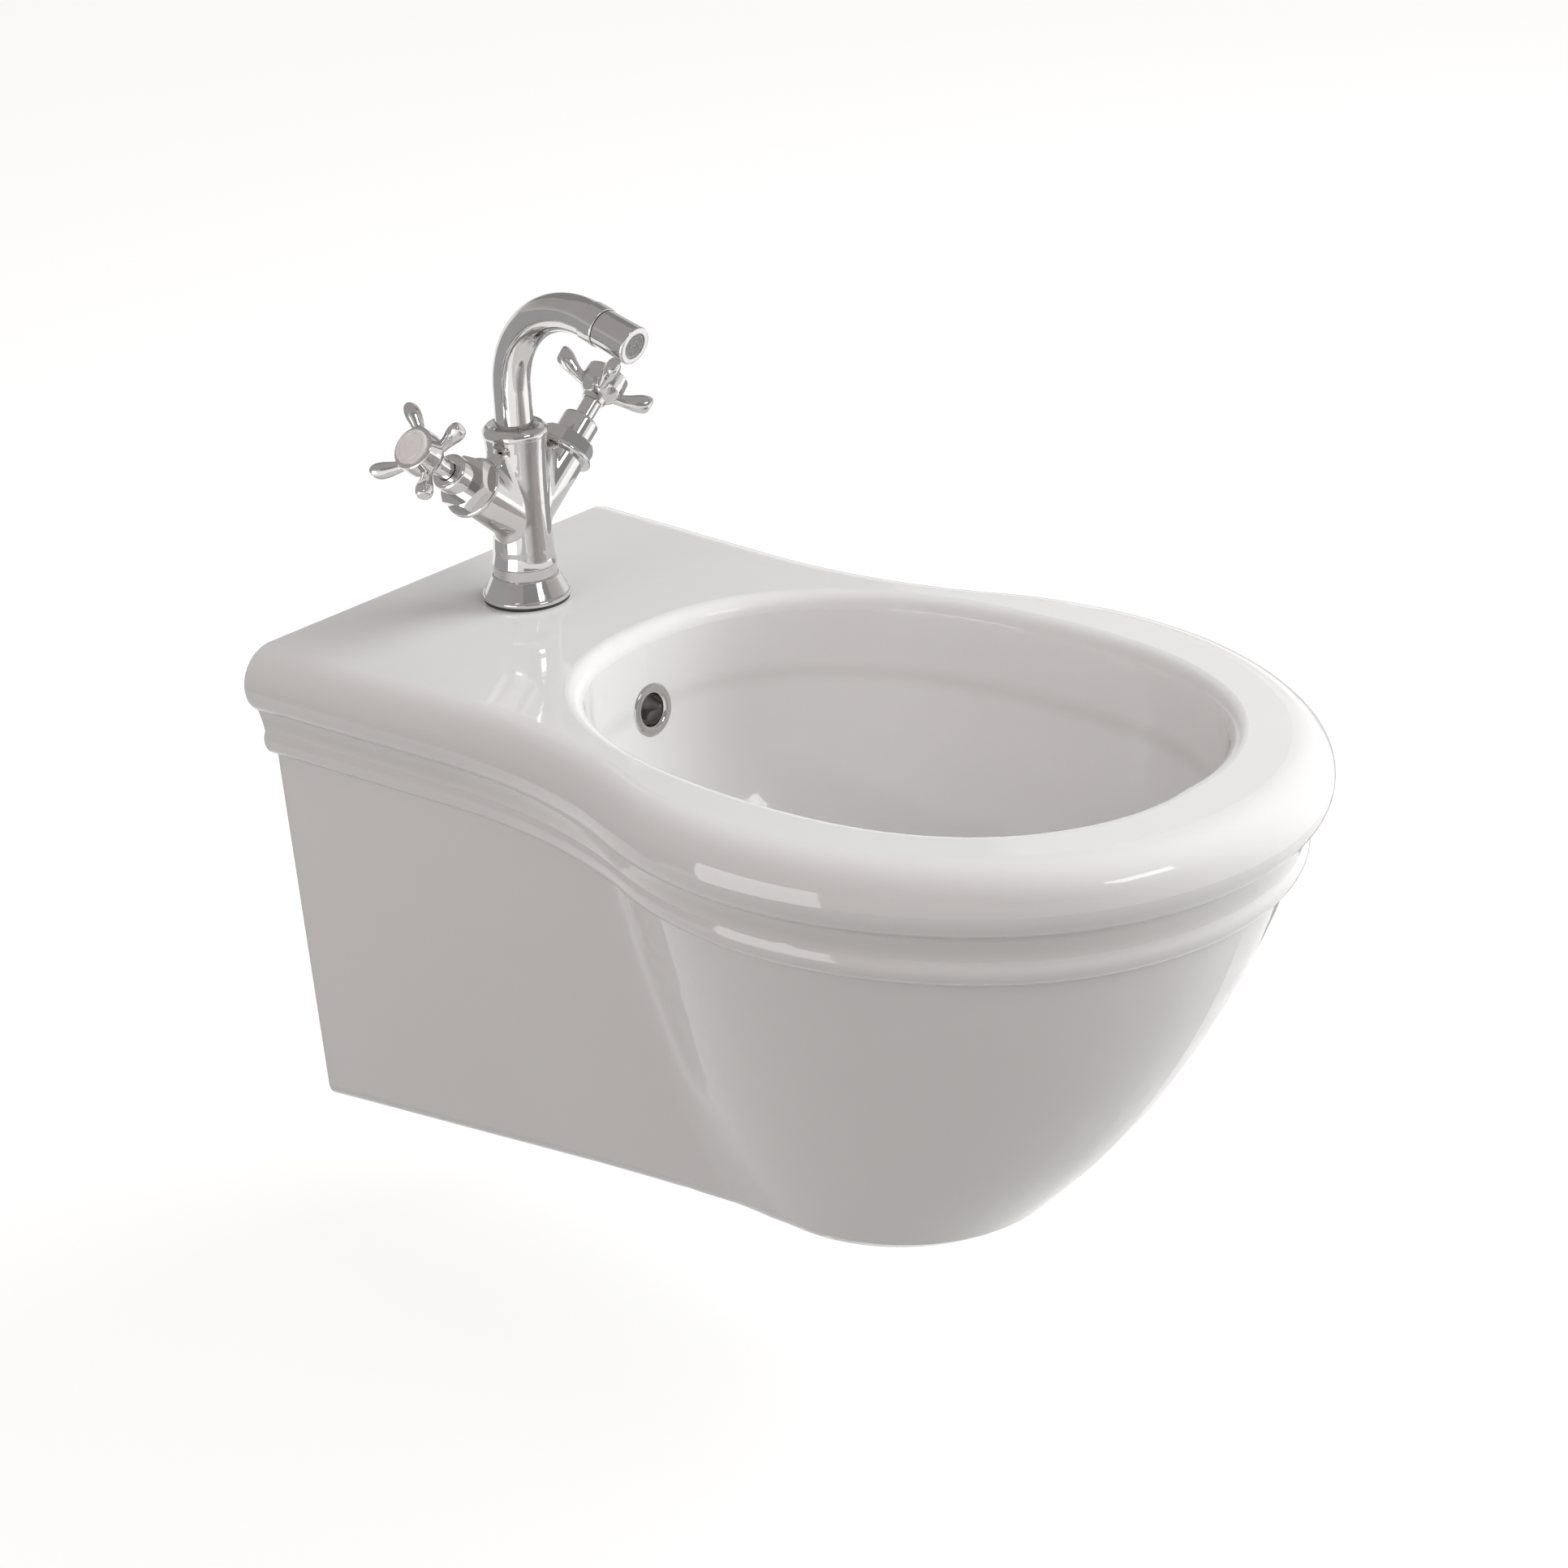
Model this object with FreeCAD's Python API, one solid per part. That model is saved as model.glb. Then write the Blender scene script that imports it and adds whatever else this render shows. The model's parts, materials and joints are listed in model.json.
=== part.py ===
"""Wall-hung bidet in white glazed ceramic, with its two-handle tap and its waste.

Millimetres. The wall is the plane y = 0 and the bowl reaches towards -y, with +z up.
The origin is the middle of the two wall fixings, on the wall. A height "below the deck"
is turned into z by deck(), and tap pieces are drawn about their own axis and then placed.
"""
import FreeCAD, Part
import math
import os
from FreeCAD import Placement, Rotation, Vector

# Ceramic in plan
DEPTH = 550.0             # wall to front of rim
HALF_WIDTH = 178.0        # widest half-width of the rim
WALL_HALF_WIDTH = 145.5   # half-width of the rim at the wall
SIDE_TAPER = 0.046        # the straight sides close in by this much per mm from the wall
WAIST_R = 325.0           # hollow curve between straight side and oval
SIDE_R = 219.5            # round of the oval's flanks
FRONT_R = 166.0           # round of the oval's front

# Ceramic heights, below the deck
FIXING_DROP = 95.0        # deck to wall fixings
MOULDING_H = 64.5         # rim and its mouldings
BELLY_H = 266.0           # underside of the belly
WALL_SKIRT_H = 280.0      # lower edge of the skirt at the wall
FRONT_SKIRT_H = 263.0     # lower edge of the skirt where it meets the belly
DECK_T = 16.0             # thickness of the deck at the tap
WALL_T = 11.0             # thickness of the cast walls
BACK_T = 14.0             # thickness of the back plate

# Rim moulding: insets are measured from the rim's outermost line
BULLNOSE_R = 21.0
LOWER_NOSE_R = 16.7
NOSE_BOTTOM_H = 36.0
COVE_BOTTOM_H = 49.0
COVE_INSET = 11.4
OVOLO_R = 10.4
SKIRT_INSET = 19.8        # rim line to the skirt under the moulding
SLAB_INSET = 45.0
SLAB_LAP = 5.0
WALL_OVERRUN = 20.0       # length of rim trimmed off at the wall
WALL_EDGE_R = 3.0

# Skirt, from the wall to where it runs into the belly
SKIRT_DEPTH = 285.0
SKIRT_WALL_FOOT = 114.0   # half-width at the foot, at the wall
SKIRT_FRONT_FOOT = 87.0   # half-width at the foot, at the belly
JOIN_BLEND = 7.0          # width over which the skirt runs softly into the belly
JOIN_REACH = 16.0
UNDERSIDE = ((-30.0, 281.8), (0.0, WALL_SKIRT_H), (120.0, 273.0), (225.0, 267.3),
             (300.0, BELLY_H), (420.0, BELLY_H), (DEPTH, BELLY_H))
FOOT_EDGE_R = 10.0
FLOOR_D = 330.0           # wall to the closed floor of the belly

# Belly: half-width, front reach and widest station, under the moulding and at the foot
BELLY_TOP = (158.5, 530.0, 350.0)
BELLY_FOOT = (86.0, 400.0, 320.0)
BELLY_REAR_TOP = 168.0    # reach behind the widest station
BELLY_REAR_FOOT = 125.0
BELLY_SWELL = (1.3, 0.82)

# Basin: depth below the deck, half-width, rear and front edge measured from the wall
BASIN = ((0.0, 126.5, 155.0, 495.5),
         (30.0, 125.5, 156.0, 493.0),
         (75.0, 117.0, 163.0, 481.0),
         (115.0, 100.0, 182.0, 450.0),
         (143.0, 72.0, 210.0, 396.0),
         (157.0, 42.0, 236.0, 330.0))
BASIN_CENTRE = 0.535      # widest station as a share of the basin's length
BASIN_SQUARENESS = 2.3    # exponent of the oval: 2 is an ellipse
BASIN_LIP_R = 9.0
DRAIN_D = 278.0           # wall to drain
DRAIN_H = 161.5           # drain seat below the deck
DRAIN_HOLE_R = 23.5
DRAIN_SEAT_R = 32.5
DRAIN_BOSS_R = 37.0
DRAIN_BOSS_H = 200.0

# Wall fixings, overflow and tap hole
FIXING_SPACING = 180.0
FIXING_HOLE_R = 10.0
FIXING_BORE_R = 6.5
FIXING_BOSS_R = 19.0
FIXING_BOSS_L = 26.0
WINDOW_HALF_WIDTH = 68.0  # opening in the back plate for the pipes
WINDOW_TOP_H = 150.0
WINDOW_R = 22.0
OVERFLOW_H = 45.0
OVERFLOW_D = 157.4        # wall to the basin's surface at the overflow
OVERFLOW_TILT = 6.0
OVERFLOW_HOLE_R = 10.0
OVERFLOW_RING_R = 14.3
OVERFLOW_SPOT_T = 1.0
DUCT_D = 140.0            # overflow duct behind the basin
DUCT_R = 7.0
DUCT_BOSS_R = 12.0
DUCT_H = 184.0            # level run from the duct to the drain
RUN_R = 6.0
RUN_BOSS_R = 11.0
TAP_D = 70.0              # wall to tap axis
TAP_HOLE_R = 17.5

# Tap body, base and fixing
BODY_R = 16.5
BODY_NECK_R = 15.6
BODY_TOP_R = 16.6
BODY_H = 86.0
UPSTAND_R = 13.6          # threaded upstand inside the collar
UPSTAND_H = 90.0
BASE_R = 24.0
BASE_H = 20.0
SEAL_T = 1.5
INLET_R = 4.5             # M10 x 1 tapping
INLET_DEPTH = 14.0
INLET_CHAMFER = 1.0
INLET_PLACE = (8.0, -5.0)
STUD_R = 3.0
STUD_Y = 9.0
STUD_FOOT_H = 60.0
CLAMP_R = 24.0
FIT = 0.05                # radial clearance of assembled and turning fits

# Spout
SPOUT_R = 10.25
SPOUT_BORE_R = 8.7
SPOUT_SOCKET_R = 9.1      # straight socket in the open end, for the nozzle's ring
SPOUT_SOCKET_L = 5.5
STEM_R = 8.0
STEM_BORE_R = 5.0
STEM_FOOT_H = 62.0        # heights above the deck
O_RING_H = (68.0, 76.0)
SPOUT_FLANGE_R = 12.0
COLLAR_R = 17.3
COLLAR_H = 98.0
BEND_H = 118.0
BEND_R = 48.0
BEND_TURN = 106.0         # degrees

# Valves and handles, by distance along the arm from the tap's axis
ARM_ANGLE = 40.0          # arms above the horizontal, degrees
ARM_H = 43.5              # height above the deck where the arms' axes meet
ARM_R = 13.5
ARM_L = 43.0
ARM_FILLET_R = 8.0
VALVE_BORE_R = 10.0
VALVE_SEAT = 22.0
DISC_R = 8.4
DISC_T = 3.0
SPINDLE_R = 5.2
SPINDLE_END = 90.0
BONNET_FLANGE_R = 17.0
HEX_FLATS = 27.0
HEX_END = 54.0
SHROUD_R = 10.3
SHROUD_END = 67.0
HUB_START = 78.0
HUB_END = 97.0
HUB_R = 12.4
INDEX_R = 9.7
INDEX_FOOT = 95.0
INDEX_RING_R = 7.2
SCREW_R = 2.0
LEVERS = 4
LEVER_SECTIONS = (        # reach from the spindle, place along it, half-width, half-depth
    (7.0, 86.0, 3.0, 4.0), (13.0, 87.0, 2.8, 3.5), (18.0, 89.0, 3.4, 4.5),
    (24.0, 91.4, 4.3, 5.6), (27.2, 92.3, 3.6, 4.9), (28.6, 92.6, 1.7, 2.6))
REST_ANGLE = {"cold": 38.0, "hot": 45.0}

# Swivelling nozzle, along the axis of the spout's end
PIVOT = 14.0              # spout end to ball centre
BALL_R = 5.0
STALK_R = 2.6
SOCKET_R = 7.0
SEAM_R = 11.07            # round of the nozzle's tail about the ball centre
NOZZLE_R = 10.1
NOZZLE_TIP_R = 10.4
NOZZLE_L = 31.0
NOZZLE_BORE_R = 7.2
RING_R = 10.9
RING_L = 9.0
SLIP = 0.15               # clearance of the ball joint's shells
AERATOR_R = 7.1
AERATOR_H = 29.4

# Waste, heights below the deck
WASTE_FLANGE_R = 31.5
WASTE_FLANGE_T = 2.8
WASTE_TUBE_R = 22.5
WASTE_BORE_R = 18.5
WASTE_TAIL_R = 20.95      # 1 1/4 inch pipe thread
WASTE_TUBE_H = 216.0
WASTE_TAIL_H = 252.0
CARTRIDGE_R = 8.0
CARTRIDGE_H = (168.0, 198.0)
STEM_PIN_R = 4.0
CAP_R = 27.0
CAP_H = (148.5, 143.0)    # underside and crown of the open plug

Z = Vector(0, 0, 1)
X = Vector(1, 0, 0)
ORIGIN = Vector(0, 0, 0)
DIAGONAL = math.sqrt(0.5)


def deck(below):
    """Height z of a level given below the deck."""
    return FIXING_DROP - below


def face(start, *steps, at=lambda u, v: Vector(u, 0, v)):
    """Closed face: a step is an end point, or a pair of a point on an arc and its end."""
    edges = []
    here = start
    for step in steps + (start,):
        points = step if isinstance(step[0], tuple) else (step,)
        there = points[-1]
        if len(points) == 2:
            edges.append(Part.Arc(at(*here), at(*points[0]), at(*there)).toShape())
        elif math.dist(here, there) > 1e-6:
            edges.append(Part.makeLine(at(*here), at(*there)))
        here = there
    return Part.Face(Part.Wire(edges))


def lathe(start, *steps):
    """Solid of revolution about z, from a profile of (radius, height)."""
    return face(start, *steps).revolve(ORIGIN, Z, 360)


def rod(radius, low, high):
    """Round bar about z between two heights."""
    return Part.makeCylinder(radius, high - low, Vector(0, 0, low))


def tube(outer, inner, low, high):
    """Round tube about z between two heights."""
    return rod(outer, low, high).cut(rod(inner, low - 1, high + 1))


def cone(half_angle, length, way):
    """Cone opening from the origin along a direction."""
    return Part.makeCone(0, length * math.tan(math.radians(half_angle)), length, ORIGIN, way)


def hexagon(across_flats, low, high):
    """Hexagonal bar about z between two heights."""
    corner = across_flats / math.sqrt(3)
    turns = [math.radians(60 * k) for k in range(7)]
    points = [Vector(corner * math.cos(t), corner * math.sin(t), low) for t in turns]
    return Part.Face(Part.makePolygon(points)).extrude(Z * (high - low))


def placed(shape, place):
    """Copy of a shape carried to its place."""
    copy = shape.copy()
    copy.Placement = place.multiply(copy.Placement)
    return copy


def shifted(shape, x, y, z):
    """Copy of a shape moved without turning."""
    return placed(shape, Placement(Vector(x, y, z), Rotation()))


def mirrored(shape):
    """Copy of a shape on the other side of the plane of symmetry."""
    return shape.mirror(ORIGIN, X)


def fused(first, *rest):
    """One solid from several that meet, without the seams between flush faces."""
    return first.multiFuse(list(rest)).removeSplitter()


def rim_path():
    """Ends and centres of one half of the rim line, as (x, distance from the wall)."""
    front_centre = (0.0, DEPTH - FRONT_R)
    rise = math.sqrt((SIDE_R - FRONT_R) ** 2 - (SIDE_R - HALF_WIDTH) ** 2)
    side_centre = (HALF_WIDTH - SIDE_R, front_centre[1] - rise)
    slope = math.hypot(1, SIDE_TAPER)
    along = (-SIDE_TAPER / slope, 1 / slope)
    out = (along[1], -along[0])
    offset = (WALL_HALF_WIDTH + WAIST_R * out[0] - side_centre[0], WAIST_R * out[1] - side_centre[1])
    half = offset[0] * along[0] + offset[1] * along[1]
    run = -half - math.sqrt(half ** 2 - offset[0] ** 2 - offset[1] ** 2 + (SIDE_R + WAIST_R) ** 2)
    side_end = (WALL_HALF_WIDTH + run * along[0], run * along[1])
    waist_centre = (side_end[0] + WAIST_R * out[0], side_end[1] + WAIST_R * out[1])
    share = SIDE_R / (SIDE_R + WAIST_R)
    waist_end = tuple(s + share * (w - s) for s, w in zip(side_centre, waist_centre))
    gap = math.dist(side_centre, front_centre)
    front_start = tuple(f + (f - s) * FRONT_R / gap for s, f in zip(side_centre, front_centre))
    return side_end, waist_centre, waist_end, side_centre, front_start, front_centre


def moulding_profile(at):
    """Section of the rim: flat top, bullnose, cove and quarter round."""
    lower_nose = NOSE_BOTTOM_H - BULLNOSE_R
    nose_inset = LOWER_NOSE_R - math.sqrt(LOWER_NOSE_R ** 2 - lower_nose ** 2)
    nose_mid = LOWER_NOSE_R - math.sqrt(LOWER_NOSE_R ** 2 - (lower_nose / 2) ** 2)
    ovolo_centre = (COVE_INSET + OVOLO_R, MOULDING_H - OVOLO_R)
    ovolo_top = ovolo_centre[0] - math.sqrt(OVOLO_R ** 2 - (ovolo_centre[1] - COVE_BOTTOM_H) ** 2)
    ovolo_mid = (ovolo_centre[0] - OVOLO_R * DIAGONAL, ovolo_centre[1] + OVOLO_R * DIAGONAL)
    bullnose_mid = BULLNOSE_R * (1 - DIAGONAL)
    return face((SLAB_INSET, 0.0), (BULLNOSE_R, 0.0),
                ((bullnose_mid, bullnose_mid), (0.0, BULLNOSE_R)),
                ((nose_mid, BULLNOSE_R + lower_nose / 2), (nose_inset, NOSE_BOTTOM_H)),
                ((COVE_INSET, (NOSE_BOTTOM_H + COVE_BOTTOM_H) / 2), (ovolo_top, COVE_BOTTOM_H)),
                (ovolo_mid, (ovolo_centre[0], MOULDING_H)),
                (SLAB_INSET, MOULDING_H), at=at)


def moulding_half():
    """One half of the rim, its section carried along the rim line."""
    side_end, waist_centre, waist_end, side_centre, front_start, front_centre = rim_path()
    behind = (WALL_HALF_WIDTH + SIDE_TAPER * WALL_OVERRUN, -WALL_OVERRUN)
    runs = ((behind, None, side_end), (side_end, waist_centre, waist_end),
            (waist_end, side_centre, front_start), (front_start, front_centre, (0.0, DEPTH)))
    solids = []
    for start, centre, end in runs:
        towards = centre or (start[0] + start[1] - end[1], start[1] + end[0] - start[0])
        reach = math.dist(start, towards)
        sign = -1 if centre == waist_centre else 1
        inward = tuple(sign * (t - s) / reach for s, t in zip(start, towards))

        def at(inset, below):
            return Vector(start[0] + inset * inward[0], -(start[1] + inset * inward[1]), deck(below))

        section = moulding_profile(at)
        if centre:
            first = math.atan2(centre[1] - start[1], start[0] - centre[0])
            last = math.atan2(centre[1] - end[1], end[0] - centre[0])
            turn = (math.degrees(last - first) + 180) % 360 - 180
            solids.append(section.revolve(Vector(centre[0], -centre[1], 0), Z, turn))
        else:
            solids.append(section.extrude(Vector(end[0] - start[0], start[1] - end[1], 0)))
    return solids[0].multiFuse(solids[1:])


def rim_slab_half():
    """One half of the solid middle of the deck, inside the moulding."""
    side_end, waist_centre, waist_end, side_centre, front_start, front_centre = rim_path()
    inset = SLAB_INSET - SLAB_LAP

    def from_centre(centre, point, radius):
        share = radius / math.dist(centre, point)
        return tuple(c + (p - c) * share for c, p in zip(centre, point))

    def middle(centre, first, second):
        mean = tuple((a + b) / 2 for a, b in zip(first, second))
        return from_centre(centre, mean, math.dist(centre, first))

    a = from_centre(waist_centre, side_end, WAIST_R + inset)
    b = from_centre(waist_centre, waist_end, WAIST_R + inset)
    c = from_centre(front_centre, front_start, FRONT_R - inset)
    tip = (0.0, DEPTH - inset)
    half = face((0.0, 0.0), (WALL_HALF_WIDTH - inset, 0.0), a, (middle(waist_centre, a, b), b),
                (middle(side_centre, b, c), c), (middle(front_centre, c, tip), tip),
                at=lambda x, d: Vector(x, -d, deck(MOULDING_H)))
    return half.extrude(Z * MOULDING_H)


def side_line(below, distance):
    """Half-width of the skirt at a level and a distance from the wall."""
    share = distance / SKIRT_DEPTH
    foot = SKIRT_WALL_FOOT + (SKIRT_FRONT_FOOT - SKIRT_WALL_FOOT) * share
    bottom = WALL_SKIRT_H + (FRONT_SKIRT_H - WALL_SKIRT_H) * share
    shoulder = WALL_HALF_WIDTH - SKIRT_INSET - SIDE_TAPER * distance
    return shoulder + (foot - shoulder) * (below - MOULDING_H) / (bottom - MOULDING_H)


def skin_section(below, inset, near):
    """Half outline of skirt and belly at one level: straight side, soft join, oval front."""
    drop = (below - MOULDING_H) / (BELLY_H - MOULDING_H)
    half, front, centre = (a + (b - a) * drop for a, b in zip(BELLY_TOP, BELLY_FOOT))
    held = min(1.0, max(0.0, drop))
    swell = (1 - held ** BELLY_SWELL[0]) ** BELLY_SWELL[1] - (1 - held)
    front += (BELLY_TOP[1] - BELLY_FOOT[1]) * swell - inset
    rear = BELLY_REAR_TOP + (BELLY_REAR_FOOT - BELLY_REAR_TOP) * drop - inset
    half -= inset

    def belly_line(distance):
        return half * math.sqrt(max(0.0, 1 - ((centre - distance) / rear) ** 2))

    def straight(distance):
        return side_line(below, distance) - inset

    def blended(distance):
        a, b = belly_line(distance), straight(distance)
        overlap = max(0.0, JOIN_BLEND - abs(a - b)) / JOIN_BLEND
        return max(a, b) + overlap ** 2 * JOIN_BLEND / 4

    def at(x, distance):
        return Vector(x, -distance, deck(below))

    low, high = centre - rear, centre
    for _ in range(40):
        join = (low + high) / 2
        low, high = (join, high) if belly_line(join) < straight(join) else (low, join)
    start = join - JOIN_REACH
    run = [at(straight(start - 6 * step), start - 6 * step) for step in (3, 2, 1, 0)]
    run += [at(blended(join + step), join + step) for step in (-10, -5, 0, 5, 10)]
    first = math.acos((join + JOIN_REACH - centre) / rear)
    for k in range(10, -4, -1):
        angle = first * k / 10
        reach = rear if math.cos(angle) < 0 else front - centre
        run.append(at(half * math.sin(angle), centre + reach * math.cos(angle)))
    curve = Part.BSplineCurve()
    curve.interpolate(run)
    round_side = curve.toShape(curve.parameter(run[3]), curve.parameter(run[-4]))
    middle, corner = at(0, near), at(straight(near), near)
    return Part.Wire([Part.makeLine(middle, corner), Part.makeLine(corner, run[3]), round_side,
                      Part.makeLine(run[-4], middle)])


def skin_half(inset, top, foot, near, sections):
    """One half of skirt and belly as one form, lofted through level outlines."""
    levels = [top + (foot - top) * k / (sections - 1) for k in range(sections)]
    return Part.makeLoft([skin_section(below, inset, near) for below in levels], True)


def below_underside():
    """Everything under the lower edge, which rises from the wall to the belly."""
    curve = Part.BSplineCurve()
    line = [Vector(-WALL_T, -distance, deck(below)) for distance, below in UNDERSIDE]
    curve.interpolate(line)
    low = [Vector(point.x, point.y, deck(DEPTH)) for point in (line[-1], line[0])]
    outline = Part.Wire([curve.toShape(), Part.makePolygon([line[-1]] + low + [line[0]])])
    return Part.Face(outline).extrude(X * 2 * HALF_WIDTH)


def half_oval(below, half_width, rear, front, count=16):
    """Half of a squared oval at one level, closed along the plane of symmetry."""
    centre = rear + BASIN_CENTRE * (front - rear)
    points = []
    for k in range(count):
        angle = 2 * math.pi * k / count
        side, ahead = math.sin(angle), math.cos(angle)
        reach = front - centre if ahead > 0 else centre - rear
        x = math.copysign(abs(side) ** (2 / BASIN_SQUARENESS), side) * half_width
        distance = centre + math.copysign(abs(ahead) ** (2 / BASIN_SQUARENESS), ahead) * reach
        points.append(Vector(x, -distance, deck(below)))
    curve = Part.BSplineCurve()
    curve.interpolate(points, PeriodicFlag=True)
    rear_point = points[count // 2]
    half = curve.toShape(curve.FirstParameter, curve.parameter(rear_point))
    return Part.Wire([half, Part.makeLine(rear_point, points[0])])


def basin_half(grow, start):
    """One half of the bowl's hollow from a start level down; grow gives its cast shell."""
    sections = ((start - grow,) + BASIN[0][1:],) + BASIN
    wires = [half_oval(below + grow, half + grow, rear - grow, front + grow)
             for below, half, rear, front in sections]
    return Part.makeLoft(wires, True)


def from_wall(shape, x, below):
    """Shape drawn about z, laid down so that its z runs from the wall into the room."""
    return placed(shape, Placement(Vector(x, 0, deck(below)), Rotation(X, 90)))


def in_overflow(shape):
    """Shape drawn about z, brought to the overflow with z = 0 on the basin's surface."""
    middle = Vector(0, -OVERFLOW_D, deck(OVERFLOW_H))
    return placed(shape, Placement(middle, Rotation(X, 90 - OVERFLOW_TILT)))


def in_drain(shape):
    """Shape drawn about z at its height, brought to the drain's axis."""
    return shifted(shape, 0, -DRAIN_D, 0)


def edges_where(shape, test):
    """Edges whose bounding box passes a test."""
    return [edge for edge in shape.Edges if test(edge.BoundBox)]


def ceramic_outside_half():
    """One half of the outer form: moulded rim over skirt and belly, flat at the wall."""
    skin = skin_half(0, MOULDING_H - SLAB_LAP, WALL_SKIRT_H + WALL_T, 0, 7).cut(below_underside())
    lower = edges_where(skin, lambda box: box.ZMax < deck(FRONT_SKIRT_H) and box.XMax > DRAIN_BOSS_R
                        and box.YLength > DUCT_D / 2)
    skin = skin.makeFillet(FOOT_EDGE_R, [edge for edge in lower if edge.BoundBox.XLength > 1])
    behind = Part.makeBox(2 * DEPTH, DEPTH, 2 * DEPTH, Vector(-DEPTH, 0, -DEPTH))
    cast = moulding_half().fuse(rim_slab_half()).cut(behind).removeSplitter().fuse(skin)
    wall_edge = edges_where(cast, lambda box: box.YMin > -0.01 and box.ZMin > deck(NOSE_BOTTOM_H) - 0.1)
    return cast.makeFillet(WALL_EDGE_R, wall_edge)


def plumbing_space_half():
    """One half of the space behind and under the basin, with the cast bosses left standing."""
    upright = Part.Face(skin_section(MOULDING_H, WALL_T, BACK_T)).extrude(Z * (MOULDING_H - DECK_T))
    space = skin_half(WALL_T, MOULDING_H, WALL_SKIRT_H + 4 * WALL_T, BACK_T, 9).fuse(upright)
    floor = Vector(0, -FLOOR_D - DEPTH, deck(BELLY_H - WALL_T) - DEPTH)
    nose = Part.makeBox(HALF_WIDTH, DEPTH, DEPTH, floor)
    duct = rod(DUCT_BOSS_R, deck(DUCT_H + DUCT_BOSS_R), deck(0))
    boss = rod(DRAIN_BOSS_R, deck(DRAIN_BOSS_H), deck(BASIN[-2][0]))
    for solid in (nose, basin_half(WALL_T, DECK_T - WALL_T), shifted(duct, 0, -DUCT_D, 0),
                  from_wall(rod(RUN_BOSS_R, DUCT_D, DRAIN_D), 0, DUCT_H), in_drain(boss),
                  from_wall(rod(FIXING_BOSS_R, 0, FIXING_BOSS_L), FIXING_SPACING / 2, FIXING_DROP)):
        space = space.cut(solid)
    return space


def pipe_window_half():
    """One half of the opening in the back plate for the supply and waste pipes."""
    half, top, r = WINDOW_HALF_WIDTH, WINDOW_TOP_H, WINDOW_R
    mid = r * (1 - DIAGONAL)
    window = face((0, DEPTH), (half, DEPTH), (half, top + r), ((half - mid, top + mid), (half - r, top)),
                  (0, top), at=lambda x, below: Vector(x, WALL_T, deck(below)))
    return window.extrude(Vector(0, -BACK_T - 2 * WALL_T, 0))


def ceramic_body():
    """Cast bowl with its basin, plumbing space, tap hole, drain, overflow and wall fixings."""
    cast = ceramic_outside_half().cut(basin_half(0, -WALL_T))
    lip = edges_where(cast, lambda box: box.ZLength < 0.01 and abs(box.ZMax - deck(0)) < 0.01
                      and abs(box.XMax - BASIN[0][1]) < 1)
    cast = cast.makeFillet(BASIN_LIP_R, lip)
    drain = rod(DRAIN_HOLE_R, deck(DRAIN_BOSS_H + 1), deck(0))
    drain = drain.fuse(rod(DRAIN_SEAT_R, deck(DRAIN_H), deck(0)))
    for hollow in (plumbing_space_half(), pipe_window_half(), in_drain(drain),
                   shifted(rod(DUCT_R, deck(DUCT_H), deck(OVERFLOW_H)), 0, -DUCT_D, 0),
                   from_wall(rod(RUN_R, DUCT_D, DRAIN_D), 0, DUCT_H),
                   in_overflow(rod(OVERFLOW_HOLE_R, DUCT_D - OVERFLOW_D, WALL_T)),
                   in_overflow(rod(OVERFLOW_RING_R + FIT, -OVERFLOW_SPOT_T, WALL_T)),
                   shifted(rod(TAP_HOLE_R, deck(DECK_T + 1), deck(-1)), 0, -TAP_D, 0),
                   from_wall(rod(FIXING_HOLE_R, -1, FIXING_BOSS_L + 1), FIXING_SPACING / 2, FIXING_DROP)):
        cast = cast.cut(hollow)
    return cast.fuse(mirrored(cast)).removeSplitter()


def overflow_ring():
    """Rounded trim ring with a short collar in the overflow hole."""
    collar, bore = OVERFLOW_HOLE_R - FIT, OVERFLOW_HOLE_R - 1.4
    seat, crown, edge = -OVERFLOW_SPOT_T, 1.4, OVERFLOW_RING_R
    ring = lathe((bore, -15), (collar, -15), (collar, seat), (edge, seat), (edge, 0),
                 ((edge - 0.5, 1.0), (edge - 2, crown)), ((bore + 0.6, 0.8), (bore, -0.6)))
    return in_overflow(ring)


def wall_sleeves():
    """Two flanged sleeves that line the wall fixings' holes."""
    flange = tube(FIXING_HOLE_R + 5, FIXING_BORE_R, FIXING_BOSS_L, FIXING_BOSS_L + 2.5)
    sleeve = fused(tube(FIXING_HOLE_R - FIT, FIXING_BORE_R, 0, FIXING_BOSS_L), flange)
    return Part.makeCompound([from_wall(sleeve, side * FIXING_SPACING / 2, FIXING_DROP)
                              for side in (-1, 1)])


def on_tap(shape):
    """Shape drawn about the tap's axis with z = 0 on the deck, brought to its place."""
    return shifted(shape, 0, -TAP_D, deck(0))


def arm_place(side):
    """Frame of a tap arm, z outwards along the spindle; side is -1 for cold and +1 for hot."""
    rise = math.radians(ARM_ANGLE)
    cos, sin = math.cos(rise), math.sin(rise)
    turn = Rotation(Vector(0, side, 0), Vector(-side * sin, 0, cos), Vector(side * cos, 0, sin), "ZXY")
    return Placement(Vector(0, 0, ARM_H), turn)


def tap_base_ring():
    """Flared base with a rounded lip and a neck that the body's shoulder stands on."""
    inner, lip = BODY_R + FIT, BASE_R
    return lathe((inner, SEAL_T), (lip - 0.8, SEAL_T), ((lip, 3.1), (lip - 1.2, 4.9)), (18.6, 13.4),
                 ((18.0, 14.3), (17.2, 14.6)), (17.2, BASE_H), (inner, BASE_H))


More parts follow.
